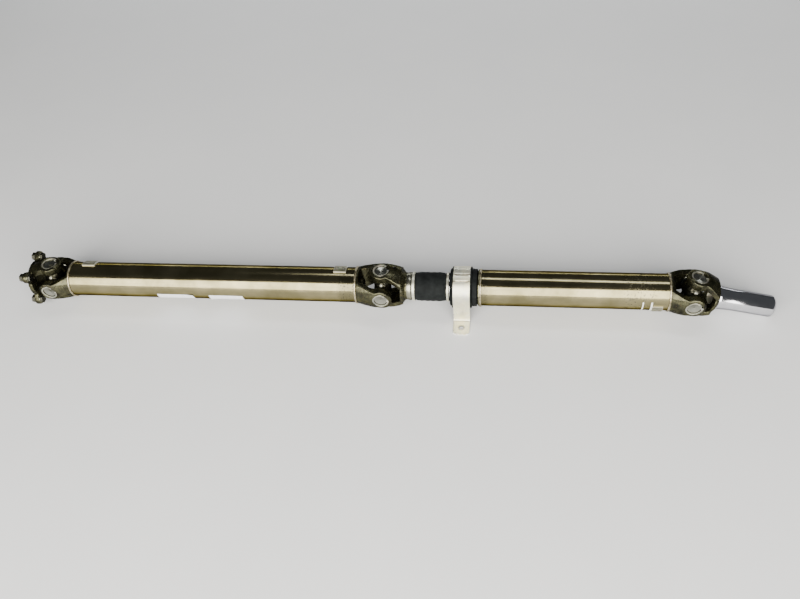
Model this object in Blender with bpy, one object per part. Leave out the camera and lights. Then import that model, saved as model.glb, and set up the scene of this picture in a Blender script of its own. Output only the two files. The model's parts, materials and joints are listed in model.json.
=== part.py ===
"""Two-piece propeller shaft with three universal joints, a slip spline and a centre bearing.

X runs along the shaft from the axle flange (-X) to the gearbox slip yoke (+X), Z is up.
The origin lies on the floor under the middle of the whole part. Positions along the shaft are
written as stations, counted from a point in the sleeve yoke's neck.
The bracket's two feet stand on the floor plane, z = 0.
"""
import math
import bmesh
import bpy
from mathutils import Matrix, Vector

# Driving dimensions, in metres
GAP = 0.0003                # clearance between two pieces that touch
AXIS_Z = 0.049              # shaft axis above the bracket's feet
TUBE_R = 0.03175            # tube outside radius
TUBE_WALL = 0.00165
STATION_ZERO_X = 0.0309     # where station 0 lies in X, so that the part is centred
REAR_JOINT_X = -0.656
MIDDLE_JOINT_X = -0.029
FRONT_JOINT_X = 0.5035
REAR_REACH = 0.040          # joint centre to the rear tube's end
MIDDLE_REACH = 0.046
FRONT_REACH = 0.039
FRONT_TUBE_X = 0.146        # rear end of the front tube
DROOP = math.radians(12.3)  # how far the slip yoke hangs down at rest

# Universal joint
TRUNNION_R = 0.0083
TRUNNION_END = 0.0348       # joint centre to a trunnion's end
CAP_R = 0.0140
CAP_INNER = 0.0242          # joint centre to the cap's open end
CAP_OUTER = 0.0366
RING_THICK = 0.0014
RING_R = 0.0150
EAR_INNER = 0.0245
EAR_OUTER = 0.0400
EAR_R = 0.0200              # ear's end radius round the trunnion
EAR_BASE_HALF = 0.0255      # half width of an ear where it joins its base
SPIGOT = 0.012              # length of the yoke inside the tube

# Flange yoke
FLANGE_FACE = 0.040         # joint centre to the flange's rear face
FLANGE_THICK = 0.0075
FLANGE_R = 0.034
LOBE_PITCH_R = 0.0400
LOBE_R = 0.0105
LOBE_ANGLES = [math.radians(45 + 90 * i) for i in range(4)]
BOLT_R = 0.0050
BOLT_HEX_R = 0.0082         # bolt head and nut, across corners
PILOT_R = 0.0235
RECESS_R = 0.015
LOBE_ROOT_R = 0.026

# Slip spline and centre bearing
SPLINE_TEETH = 10
SPLINE_ROOT_R = 0.0125
SPLINE_TIP_R = 0.0148
SEAT_R = 0.0150             # bearing seat on the stub shaft
SLEEVE_END_X = 0.062
SLEEVE_R = 0.0215
BOOT_START_X = 0.024
BOOT_END_X = 0.0915
BOOT_R = 0.0262
BOOT_NECK_R = 0.0243        # boot ends, under the clamps
CLAMP_THICK = 0.0014
BEARING_X = 0.1135
BEARING_HALF = 0.009        # half width of the ball bearing
BALL_PITCH_R = 0.0215
BALL_R = 0.0022
BALLS = 9
BRACKET_WIDTH = 0.029
CUSHION_HALF = BRACKET_WIDTH / 2 + 0.0028
STRAP_R = 0.0374
STRAP_THICK = 0.0026
FOOT_LENGTH = 0.033
FOOT_HOLE_OUT = 0.0184
FOOT_HOLE_R = 0.0045
FOOT_BEND_R = 0.0045
FOOT_CORNER_R = 0.006

# Slip yoke
BARREL_R = 0.0187
BARREL_NECK_R = 0.0207
BARREL_END = 0.1405         # joint centre to the barrel's free end
BARREL_BORE_R = 0.0130
BARREL_SPLINE_R = 0.0112
SLIP_REACH = 0.036
PLUG_R = 0.0142

TUBE_SEGMENTS = 36
YOKE_SEGMENTS = 20
RING_SEGMENTS = 20
ROUND_SEGMENTS = 16


# ---------------------------------------------------------------- helpers

def material(name, color, roughness, metallic):
    """A Principled material for one sub-part."""
    mat = bpy.data.materials.new(name)
    mat.use_nodes = True
    shader = mat.node_tree.nodes["Principled BSDF"]
    shader.inputs["Base Color"].default_value = (*color, 1.0)
    shader.inputs["Roughness"].default_value = roughness
    shader.inputs["Metallic"].default_value = metallic
    return mat


def make_object(name, bm, mat=None):
    """Turn a bmesh into a named, smooth-shaded object."""
    bmesh.ops.remove_doubles(bm, verts=bm.verts, dist=1e-6)
    bmesh.ops.recalc_face_normals(bm, faces=bm.faces)
    mesh = bpy.data.meshes.new(name)
    bm.to_mesh(mesh)
    bm.free()
    obj = bpy.data.objects.new(name, mesh)
    bpy.context.scene.collection.objects.link(obj)
    if mat:
        mesh.materials.append(mat)
    finish_shading(obj)
    return obj


def finish_shading(obj):
    obj.data.shade_smooth()
    obj.data.set_sharp_from_angle(angle=math.radians(35))


def turned(name, profile, mat=None, segments=ROUND_SEGMENTS, closed=True, angle=math.tau):
    """Spin (x, r) points round the X axis; closed profiles make rings, part turns are capped."""
    bm = bmesh.new()
    verts = [bm.verts.new((x, 0, r)) for x, r in profile]
    edges = [bm.edges.new(pair) for pair in zip(verts, verts[1:])]
    if closed:
        edges.append(bm.edges.new((verts[-1], verts[0])))
    geom = [*edges, *verts]
    whole = angle == math.tau
    if not whole:
        geom.append(bm.faces.new(verts))
    bmesh.ops.spin(bm, geom=geom, cent=(0, 0, 0), axis=(1, 0, 0), angle=angle,
                   steps=segments, use_merge=whole)
    return make_object(name, bm, mat)


def prism(name, outline, low, high, axis="Z", mat=None):
    """Extrude an outline along an axis; the outline's plane is (X, Y), (X, Z) or (Y, Z)."""
    axes = {"Z": (0, 1, 2), "Y": (0, 2, 1), "X": (1, 2, 0)}[axis]
    bm = bmesh.new()
    verts = []
    for a, b in outline:
        point = Vector()
        for index, value in zip(axes, (a, b, low)):
            point[index] = value
        verts.append(bm.verts.new(point))
    face = bm.faces.new(verts)
    moved = bmesh.ops.extrude_face_region(bm, geom=[face])
    step = Vector()
    step[axes[2]] = high - low
    top = [v for v in moved["geom"] if isinstance(v, bmesh.types.BMVert)]
    bmesh.ops.translate(bm, vec=step, verts=top)
    return make_object(name, bm, mat)


def combine(target, others, operation):
    """Apply exact Booleans of the given kind to the target and remove the other objects."""
    for other in others:
        modifier = target.modifiers.new("shape", "BOOLEAN")
        modifier.object = other
        modifier.operation = operation
        graph = bpy.context.evaluated_depsgraph_get()
        mesh = bpy.data.meshes.new_from_object(target.evaluated_get(graph), depsgraph=graph)
        target.modifiers.clear()
        mesh.name = target.name
        target.data = mesh
        bpy.data.objects.remove(other)
    clean = bmesh.new()
    clean.from_mesh(target.data)
    bmesh.ops.remove_doubles(clean, verts=clean.verts, dist=2e-6)
    bmesh.ops.dissolve_degenerate(clean, edges=clean.edges, dist=2e-6)
    clean.to_mesh(target.data)
    clean.free()
    finish_shading(target)
    return target


def paint(obj, mat):
    """Give an object a single material."""
    obj.data.materials.clear()
    obj.data.materials.append(mat)
    return obj


def transformed(obj, matrix):
    """Bake a matrix into an object's mesh."""
    obj.data.transform(matrix)
    return obj


def arc(centre, radius, start, stop, steps):
    """Points on a circle from one angle to another, in degrees."""
    points = []
    for i in range(steps + 1):
        a = math.radians(start + (stop - start) * i / steps)
        points.append((centre[0] + radius * math.cos(a), centre[1] + radius * math.sin(a)))
    return points


def spline_outline(root, tip, teeth):
    """A toothed outline with straight-sided teeth, the first one centred on +Z."""
    points = []
    for i in range(teeth):
        for share, radius in ((-0.65, root), (-0.35, root), (-0.23, tip), (0.23, tip)):
            a = math.pi / 2 + math.tau * (i + share) / teeth
            points.append((radius * math.cos(a), radius * math.sin(a)))
    return points


def place(obj, matrix):
    obj.matrix_world = matrix
    return obj


def on_axis(obj, x=0.0, turn=0.0):
    """Put a turned piece on the shaft axis."""
    return place(obj, Matrix.Translation((STATION_ZERO_X + x, 0, AXIS_Z)) @ Matrix.Rotation(turn, 4, "X"))


# ---------------------------------------------------------------- materials

for old in list(bpy.data.objects):
    bpy.data.objects.remove(old)

TUBE_STEEL = material("tube_steel", (0.22, 0.19, 0.11), 0.22, 1.0)
FORGED = material("forged_steel", (0.10, 0.10, 0.085), 0.42, 0.9)
GROUND = material("ground_steel", (0.62, 0.63, 0.66), 0.12, 1.0)
BEARING = material("bearing_steel", (0.55, 0.55, 0.53), 0.22, 1.0)
ZINC = material("zinc_plate", (0.80, 0.78, 0.66), 0.35, 0.6)
OXIDE = material("black_oxide", (0.05, 0.05, 0.055), 0.38, 0.8)
BAND = material("clamp_band", (0.78, 0.76, 0.66), 0.25, 1.0)
RUBBER = material("black_rubber", (0.015, 0.018, 0.017), 0.75, 0.0)
PAPER = material("label_paper", (0.85, 0.86, 0.86), 0.6, 0.0)


# ---------------------------------------------------------------- universal joints

def ear(reach, base_x, base_half, flip):
    """One yoke ear: side outline, end outline and a turned envelope, crossed."""
    taper_x = -reach + base_x
    end = arc((0, 0), EAR_R, -118, 118, 10)
    outline = [(taper_x, -base_half), *end, (taper_x, base_half)]
    side = [(EAR_R + 0.001, EAR_INNER), (EAR_R + 0.001, EAR_OUTER), (-EAR_R, EAR_OUTER),
            (taper_x, 0.0345), (taper_x, 0.014), (taper_x + 0.005, 0.0155),
            (-0.022, EAR_INNER - 0.002), (-0.018, EAR_INNER)]
    limits = [(EAR_R + 0.002, 0), (EAR_R + 0.002, 0.0345), (EAR_R - 0.005, 0.0395),
              (EAR_R - 0.009, 0.0418), (-0.011, 0.0418), (-0.019, 0.0400),
              (taper_x - 0.001, 0.0328), (taper_x - 0.001, 0)]
    envelope = turned("envelope", limits, closed=False, segments=28)
    body = prism("ear", outline, 0.01, 0.045)
    combine(body, [prism("ear_side", side, -0.04, 0.04, axis="Y"), envelope], "INTERSECT")
    if flip:
        transformed(body, Matrix.Rotation(math.pi, 4, "X"))
    return body


def cap_bore():
    """A cutter along Z for both cap bores, with a groove for each snap ring."""
    low = CAP_OUTER
    high = CAP_OUTER + RING_THICK + 2 * GAP
    r = CAP_R + GAP
    groove_r = RING_R + GAP
    half = [(low, r), (low, groove_r), (high, groove_r), (high, r), (0.05, r), (0.05, 0)]
    profile = [(-x, radius) for x, radius in reversed(half)] + half
    cutter = turned("cap_bore", profile, closed=False)
    return transformed(cutter, Matrix.Rotation(math.pi / 2, 4, "Y"))


def yoke(name, base, reach, base_x, mat, base_half=EAR_BASE_HALF):
    """Join a base, which points along -X, to two ears and bore them for the caps."""
    base.name = name
    combine(base, [ear(reach, base_x, base_half, flip) for flip in (False, True)], "UNION")
    combine(base, [cap_bore()], "DIFFERENCE")
    return paint(base, mat)


def weld_yoke(name, reach):
    """A forged yoke whose base closes a tube's end, with a boss that faces the cross."""
    spigot_r = TUBE_R - TUBE_WALL - GAP
    profile = [(-reach - SPIGOT, 0), (-reach - SPIGOT, spigot_r - 0.0015),
               (-reach - SPIGOT + 0.0015, spigot_r), (-reach + GAP, spigot_r),
               (-reach + GAP, TUBE_R + 0.0008), (-reach + 0.0035, TUBE_R + 0.0012),
               (-reach + 0.0055, TUBE_R - 0.0012), (-reach + 0.0062, 0.024), (-reach + 0.0065, 0.0145),
               (-reach + 0.0120, 0.0125), (-reach + 0.0125, 0.011), (-reach + 0.0125, 0)]
    base = turned("base", profile, closed=False, segments=YOKE_SEGMENTS)
    return yoke(name, base, reach, 0.002, FORGED)


def cross(name):
    """Four trunnions on one forged body, with a grease nipple in one corner."""
    shafts = []
    for waist_r, turn_axis in ((0.0155, "Y"), (0.0151, "Z")):
        half = [(TRUNNION_END, 0), (TRUNNION_END, TRUNNION_R - 0.001), (TRUNNION_END - 0.001, TRUNNION_R),
                (0.0235, TRUNNION_R), (0.0225, 0.0122), (0.014, waist_r)]
        profile = half + [(-x, r) for x, r in reversed(half)]
        shaft = turned(name, profile, closed=False, segments=12)
        transformed(shaft, Matrix.Rotation(math.radians(5), 4, "X"))
        shafts.append(transformed(shaft, Matrix.Rotation(math.pi / 2, 4, turn_axis)))
    body, other = shafts
    body.name = name
    profile = [(0.008, 0), (0.008, 0.0032), (0.0185, 0.0032), (0.0200, 0.0017),
               (0.0215, 0.0017), (0.0220, 0.0024), (0.0245, 0.0012), (0.0245, 0)]
    nipple = turned("nipple", profile, closed=False, segments=6)
    corner = Matrix.Rotation(math.pi / 4, 4, "X") @ Matrix.Rotation(-math.pi / 2, 4, "Y")
    transformed(nipple, corner)
    combine(body, [other, nipple], "UNION")
    return paint(body, FORGED)


def bearing_cap(name):
    """A cup on the end of a trunnion, along +Z."""
    pocket_r = TRUNNION_R + GAP
    profile = [(TRUNNION_END + GAP, 0.0), (TRUNNION_END + GAP, pocket_r), (CAP_INNER, pocket_r),
               (CAP_INNER, CAP_R), (CAP_OUTER - 0.0012, CAP_R), (CAP_OUTER - GAP, CAP_R - 0.0012),
               (CAP_OUTER - GAP, 0.0)]
    cup = turned(name, profile, BEARING, closed=False)
    return transformed(cup, Matrix.Rotation(-math.pi / 2, 4, "Y"))


def snap_ring(name):
    """An open ring in the groove outside a cap, along +Z."""
    low = CAP_OUTER + GAP
    high = low + RING_THICK
    inner = RING_R - 0.0038
    profile = [(low, inner), (high, inner), (high, RING_R), (low, RING_R)]
    ring = turned(name, profile, BAND, segments=10, angle=math.radians(312))
    return transformed(ring, Matrix.Rotation(-math.pi / 2, 4, "Y"))


def universal_joint(prefix, cross_matrix, rear_matrix, front_matrix):
    """Cross, caps and snap rings: a pair of each rides in the rear yoke and in the front yoke."""
    place(cross(prefix + "_cross"), cross_matrix)
    flip = Matrix.Rotation(math.pi, 4, "X")
    for side, matrix in (("rear", rear_matrix), ("front", front_matrix)):
        for end, turn in (("a", Matrix.Identity(4)), ("b", flip)):
            tag = "_" + side + "_" + end
            place(bearing_cap(prefix + "_cap" + tag), matrix @ turn)
            place(snap_ring(prefix + "_snap_ring" + tag), matrix @ turn)


def joint_frame(x, turn):
    """Joint centre with local Z on a trunnion axis."""
    return Matrix.Translation((STATION_ZERO_X + x, 0, AXIS_Z)) @ Matrix.Rotation(turn, 4, "X")


BACKWARDS = Matrix.Rotation(math.pi, 4, "Z")


# ---------------------------------------------------------------- sub-parts

def tube(name, start, stop):
    """Welded steel tube between two yokes."""
    inner = TUBE_R - TUBE_WALL
    profile = [(start, inner), (stop, inner), (stop, TUBE_R), (start, TUBE_R)]
    on_axis(turned(name, profile, TUBE_STEEL, segments=TUBE_SEGMENTS))


def patch(name, start, stop, low, high, inner, outer, mat, steps):
    """A curved plate on a tube between two angles, in degrees up from -Y."""
    profile = [(start, inner), (stop, inner), (stop, outer), (start, outer)]
    piece = turned(name, profile, mat, segments=steps, angle=math.radians(high - low))
    on_axis(piece, turn=math.radians(90 - high))


def flange_yoke():
    """Axle flange with four bolt lobes, a pilot ring round a shallow recess, and two ears."""
    face = -FLANGE_FACE
    front = face + FLANGE_THICK
    profile = [(face + 0.0015, 0), (face + 0.0015, RECESS_R - 0.001), (face - 0.003, RECESS_R),
               (face - 0.003, PILOT_R), (face, PILOT_R), (face, FLANGE_R), (front, FLANGE_R),
               (front + 0.001, 0.020), (front - 0.001, RECESS_R), (front - 0.001, 0)]
    disc = turned("disc", profile, closed=False, segments=YOKE_SEGMENTS)
    lobes = []
    holes = []
    for a in LOBE_ANGLES:
        centre = (LOBE_PITCH_R * math.cos(a), LOBE_PITCH_R * math.sin(a))
        inward = 180 + math.degrees(a)
        outline = arc(centre, LOBE_R, inward - 250, inward - 110, 8)
        for turn in (0.50, -0.50):
            outline.append((LOBE_ROOT_R * math.cos(a + turn), LOBE_ROOT_R * math.sin(a + turn)))
        lobes.append(prism("lobe", outline, face, front, axis="X"))
        circle = arc(centre, BOLT_R + GAP, 0, 330, 11)
        holes.append(prism("hole", circle, face - 0.01, front + 0.01, axis="X"))
    combine(disc, lobes, "UNION")
    combine(disc, holes, "DIFFERENCE")
    return yoke("flange_yoke", disc, FLANGE_FACE, 0.0045, FORGED, base_half=0.0190)


def flange_bolt(name, angle):
    """Hexagon bolt through a lobe, with its nut, joined as tightened."""
    face = -FLANGE_FACE
    front = face + FLANGE_THICK
    profile = [(face - 0.0098, 0), (face - 0.0098, BOLT_R - 0.001), (face - 0.009, BOLT_R),
               (front + 0.003, BOLT_R), (front + 0.003, 0)]
    shank = turned(name, profile, closed=False, segments=12)
    hexagon = arc((0, 0), BOLT_HEX_R, 0, 300, 5)
    head = prism("head", hexagon, front + GAP, front + 0.0052, axis="X")
    nut = prism("nut", hexagon, face - 0.0082, face - GAP, axis="X")
    combine(shank, [head, nut], "UNION")
    centre = (0, LOBE_PITCH_R * math.cos(angle), LOBE_PITCH_R * math.sin(angle))
    return paint(transformed(shank, Matrix.Translation(centre)), OXIDE)


def sleeve_yoke():
    """Yoke with a splined socket, built pointing along -X."""
    reach = MIDDLE_REACH
    end = MIDDLE_JOINT_X - SLEEVE_END_X
    neck = -reach + 0.008
    profile = [(end, 0), (end, SLEEVE_R - 0.0015), (end + 0.0015, SLEEVE_R), (neck - 0.014, SLEEVE_R),
               (neck - 0.012, 0.0235), (neck - 0.004, 0.0245), (neck - 0.001, 0.029), (neck + 0.003, 0.031),
               (neck + 0.005, 0.029), (neck + 0.0055, 0.020), (neck + 0.0045, 0)]
    base = turned("sleeve", profile, closed=False, segments=22)
    part = yoke("sleeve_yoke", base, reach, 0.009, FORGED)
    socket = spline_outline(SPLINE_ROOT_R + GAP, SPLINE_TIP_R + GAP, SPLINE_TEETH)
    cutter = prism("socket", socket, end - 0.01, neck - 0.008, axis="X")
    relief_r = 0.0165
    profile = [(neck - 0.0085, 0), (neck - 0.0085, relief_r), (neck + 0.012, relief_r), (neck + 0.012, 0)]
    relief = turned("relief", profile, closed=False, segments=20)
    combine(part, [cutter, relief], "DIFFERENCE")
    return paint(part, FORGED)


def stub_shaft():
    """Splined stub that carries the centre bearing and closes the front tube."""
    x = FRONT_TUBE_X
    bore_r = TUBE_R - TUBE_WALL - GAP
    profile = [(0.006, 0), (0.006, SPLINE_ROOT_R - 0.001), (0.007, SPLINE_ROOT_R), (0.074, SPLINE_ROOT_R),
               (0.0755, SEAT_R), (x - 0.010, SEAT_R), (x - 0.0085, 0.022), (x - 0.005, 0.030),
               (x - 0.0035, TUBE_R + 0.0010), (x - GAP, TUBE_R + 0.0008), (x - GAP, bore_r),
               (x + SPIGOT - 0.0015, bore_r), (x + SPIGOT, bore_r - 0.0015), (x + SPIGOT, 0)]
    shaft = turned("stub_shaft", profile, closed=False, segments=20)
    outline = spline_outline(SPLINE_ROOT_R - 0.0004, SPLINE_TIP_R, SPLINE_TEETH)
    combine(shaft, [prism("teeth", outline, 0.009, 0.0722, axis="X")], "UNION")
    on_axis(paint(shaft, GROUND))


def boot():
    """Smooth rubber boot from the sleeve to the bearing's collar."""
    inner = SLEEVE_R + GAP
    a = BOOT_START_X
    b = BOOT_END_X
    profile = [(a, inner), (b, inner), (b, BOOT_NECK_R), (b - 0.0075, BOOT_NECK_R),
               (b - 0.0085, BOOT_R - 0.0004), (b - 0.012, BOOT_R), (a + 0.014, BOOT_R),
               (a + 0.0095, BOOT_R - 0.0006), (a + 0.0085, BOOT_NECK_R), (a, BOOT_NECK_R)]
    on_axis(turned("boot", profile, RUBBER, segments=24))


def clamp(name, start, stop):
    """Crimped band round a boot's end."""
    inner = BOOT_NECK_R + GAP
    outer = inner + CLAMP_THICK
    profile = [(start, inner), (stop, inner), (stop, outer), (start, outer)]
    band = turned(name, profile, BAND, segments=20)
    left = start + 0.001
    right = stop - 0.001
    low = outer - 0.0005
    high = outer + 0.003
    lug = prism("lug", [(left, low), (right, low), (right, high), (left, high)], -0.003, 0.003, axis="Y")
    combine(band, [lug], "UNION")
    on_axis(band, turn=math.radians(-120))


def centre_bearing():
    """Races, ball ring, steel housing, rubber cushion and dust shields."""
    c = BEARING_X
    bore = SEAT_R + GAP

    def ring(name, low, high, inner, outer, mat):
        profile = [(low, inner), (high, inner), (high, outer), (low, outer)]
        on_axis(turned(name, profile, mat, segments=RING_SEGMENTS))

    ring("bearing_collar", 0.078, c - BEARING_HALF - 0.0065 - GAP, bore, SLEEVE_R, BEARING)
    ring("inner_race", c - BEARING_HALF, c + BEARING_HALF, bore, 0.0190, BEARING)
    ring("outer_race", c - BEARING_HALF, c + BEARING_HALF, 0.0240, 0.0280, BEARING)
    ring("bearing_housing", c - BEARING_HALF - 0.004, c + BEARING_HALF + 0.004, 0.0283, 0.0300, FORGED)
    outer = STRAP_R - STRAP_THICK - GAP
    lip_r = outer + 0.0022
    strap_half = BRACKET_WIDTH / 2 + GAP
    half = [(CUSHION_HALF, 0.0303), (CUSHION_HALF, lip_r), (strap_half, lip_r), (strap_half, outer)]
    profile = [(c + x, r) for x, r in half] + [(c - x, r) for x, r in reversed(half)]
    on_axis(turned("rubber_cushion", profile, RUBBER, segments=30))
    profile = [(c - 0.004, 0.0206), (c + 0.004, 0.0206), (c + 0.004, 0.0224), (c - 0.004, 0.0224)]
    cage = turned("ball_ring", profile, BEARING, segments=RING_SEGMENTS)
    balls = []
    for i in range(BALLS):
        a = math.tau * i / BALLS
        bm = bmesh.new()
        bmesh.ops.create_uvsphere(bm, u_segments=6, v_segments=4, radius=BALL_R)
        # turned a little so that no facet lies in the cage's own planes
        bmesh.ops.rotate(bm, verts=bm.verts, cent=(0, 0, 0), matrix=Matrix.Rotation(a + 0.13, 3, "X"))
        centre = (c, BALL_PITCH_R * math.cos(a), BALL_PITCH_R * math.sin(a))
        bmesh.ops.translate(bm, verts=bm.verts, vec=centre)
        balls.append(make_object("ball", bm))
    on_axis(combine(cage, balls, "UNION"))
    for name, sign, flare in (("dust_shield_rear", -1, 0.0), ("dust_shield_front", 1, 0.006)):
        near = BEARING_HALF + GAP
        hub = near + 0.0062
        rim = CUSHION_HALF + GAP + 0.0002
        out = CUSHION_HALF + 0.0032 + flare
        side = [(near, bore), (near, 0.0215), (hub, 0.0268), (rim, 0.0285), (rim, 0.0335), (out, 0.0325),
                (out, 0.0300), (out - 0.0012 - flare * 0.4, 0.0262), (hub + 0.0001, 0.0230), (hub, bore)]
        profile = [(c + sign * x, r) for x, r in side]
        on_axis(turned(name, profile, RUBBER, segments=20))


def bracket():
    """Steel strap over the cushion, with a leg and a bolt foot on each side."""
    mid_r = STRAP_R - STRAP_THICK / 2
    bend = FOOT_BEND_R
    foot_z = STRAP_THICK / 2 - AXIS_Z
    path = arc((0, 0), mid_r, 90, 180, 10)
    path += arc((-mid_r - bend, foot_z + bend), bend, 0, -90, 4)
    path += [(-mid_r - FOOT_LENGTH, foot_z)]
    path = [(-y, z) for y, z in reversed(path[1:])] + path
    outer = []
    inner = []
    for i, point in enumerate(path):
        before = Vector(path[max(i - 1, 0)])
        after = Vector(path[min(i + 1, len(path) - 1)])
        along = (after - before).normalized()
        normal = Vector((-along.y, along.x))
        outer.append(Vector(point) + normal * STRAP_THICK / 2)
        inner.append(Vector(point) - normal * STRAP_THICK / 2)
    outline = [tuple(p) for p in outer + inner[::-1]]
    half = BRACKET_WIDTH / 2
    strap = prism("bracket", outline, -half, half, axis="X", mat=ZINC)
    reach = mid_r + FOOT_LENGTH
    in_x = half - FOOT_CORNER_R
    in_y = reach - FOOT_CORNER_R
    rounded = []
    for sx, sy, start in ((1, 1, 0), (-1, 1, 90), (-1, -1, 180), (1, -1, 270)):
        rounded += arc((sx * in_x, sy * in_y), FOOT_CORNER_R, start, start + 90, 4)
    blank = prism("blank", rounded, -0.06, 0.06)
    holes = []
    for side in (-1, 1):
        centre = (0, side * (mid_r + FOOT_HOLE_OUT))
        holes.append(prism("hole", arc(centre, FOOT_HOLE_R, 0, 337.5, 15), -0.06, -0.03))
    combine(strap, [blank], "INTERSECT")
    combine(strap, holes, "DIFFERENCE")
    on_axis(paint(strap, ZINC), x=BEARING_X)


def slip_yoke():
    """Yoke with a ground barrel splined inside, built pointing along -X."""
    end = -BARREL_END
    profile = [(end, 0), (end, BARREL_R - 0.0035), (end + 0.003, BARREL_R - 0.0004),
               (end + 0.0045, BARREL_R), (-0.066, BARREL_R), (-0.042, BARREL_NECK_R), (-0.0405, 0.0225),
               (-0.0385, 0.0265), (-0.0355, 0.0285), (-0.0335, 0.0285), (-0.0325, 0.0265),
               (-0.0320, 0.020), (-0.0320, 0)]
    base = turned("barrel", profile, closed=False, segments=28)
    part = yoke("slip_yoke", base, SLIP_REACH, -0.001, GROUND)
    outline = spline_outline(BARREL_SPLINE_R, BARREL_BORE_R, SPLINE_TEETH)
    socket = prism("socket", outline, end - 0.01, -0.055, axis="X")
    mouth_r = BARREL_BORE_R + 0.0008
    profile = [(end - 0.01, 0), (end - 0.01, mouth_r), (end + 0.014, mouth_r), (end + 0.014, 0)]
    mouth = turned("mouth", profile, closed=False, segments=24)
    seat_r = PLUG_R + GAP
    profile = [(-0.058, 0), (-0.058, seat_r), (-0.02, seat_r), (-0.02, 0)]
    plug_seat = turned("plug_seat", profile, closed=False, segments=20)
    combine(part, [socket, mouth, plug_seat], "DIFFERENCE")
    return paint(part, GROUND)


def dust_plug():
    """Pressed steel cup that closes the slip yoke's bore at the ear end."""
    profile = [(-0.042, 0), (-0.042, 0.0125), (-0.038, PLUG_R), (-0.033, PLUG_R), (-0.033, 0.0130),
               (-0.0405, 0.0118), (-0.0408, 0)]
    return turned("slip_dust_plug", profile, BAND, closed=False)


# ---------------------------------------------------------------- assembly

# Ears and caps of the tubes' yokes lie along Y; those of their partners along Z.
ACROSS = math.radians(90)
rear_across = joint_frame(REAR_JOINT_X, ACROSS)
rear_upright = joint_frame(REAR_JOINT_X, 0)
middle_across = joint_frame(MIDDLE_JOINT_X, ACROSS)
middle_upright = joint_frame(MIDDLE_JOINT_X, 0)
front_across = joint_frame(FRONT_JOINT_X, ACROSS)
slip_frame = joint_frame(FRONT_JOINT_X, 0) @ Matrix.Rotation(DROOP, 4, "Y")

place(flange_yoke(), rear_upright)
for number, angle in enumerate(LOBE_ANGLES):
    place(flange_bolt("flange_bolt_" + str(number + 1), angle), rear_upright)
universal_joint("rear", rear_upright, rear_upright, rear_across)
place(weld_yoke("rear_weld_yoke", REAR_REACH), rear_across @ BACKWARDS)
REAR_TUBE_START = REAR_JOINT_X + REAR_REACH
REAR_TUBE_END = MIDDLE_JOINT_X - MIDDLE_REACH
tube("rear_tube", REAR_TUBE_START, REAR_TUBE_END)
place(weld_yoke("middle_weld_yoke", MIDDLE_REACH), middle_across)
universal_joint("middle", middle_upright, middle_across, middle_upright)
place(sleeve_yoke(), middle_upright @ BACKWARDS)

SKIN = TUBE_R + GAP
WEIGHT_TOP = SKIN + 0.0024
LABEL_TOP = SKIN + 0.0004
for name, start, stop, low, high in (
        ("balance_weight_rear", REAR_TUBE_START + 0.022, REAR_TUBE_START + 0.046, 95, 135),
        ("balance_weight_middle", REAR_TUBE_END - 0.040, REAR_TUBE_END - 0.018, 88, 126),
        ("balance_weight_front", FRONT_TUBE_X + 0.290, FRONT_TUBE_X + 0.308, -38, -6)):
    patch(name, start, stop, low, high, SKIN, WEIGHT_TOP, BEARING, 6)
for name, start, stop in (("label_long", -0.447, -0.378), ("label_short", -0.348, -0.284)):
    patch(name, start, stop, -46, -6, SKIN, LABEL_TOP, PAPER, 8)

stub_shaft()
boot()
clamp("boot_clamp_rear", BOOT_START_X + 0.0016, BOOT_START_X + 0.0062)
clamp("boot_clamp_front", BOOT_END_X - 0.0048, BOOT_END_X - 0.0010)
centre_bearing()
bracket()
tube("front_tube", FRONT_TUBE_X, FRONT_JOINT_X - FRONT_REACH)
place(weld_yoke("front_weld_yoke", FRONT_REACH), front_across)
universal_joint("front", slip_frame, front_across, slip_frame)
place(slip_yoke(), slip_frame @ BACKWARDS)
place(dust_plug(), slip_frame @ BACKWARDS)
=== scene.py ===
"""Looks for the two-piece propeller shaft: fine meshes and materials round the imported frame.

X runs along the shaft, Z is up, and every size is in metres in the frame's own coordinates.
"""
import json
import math
import random

import bmesh
import bpy
from mathutils import Matrix, Vector, noise


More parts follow.
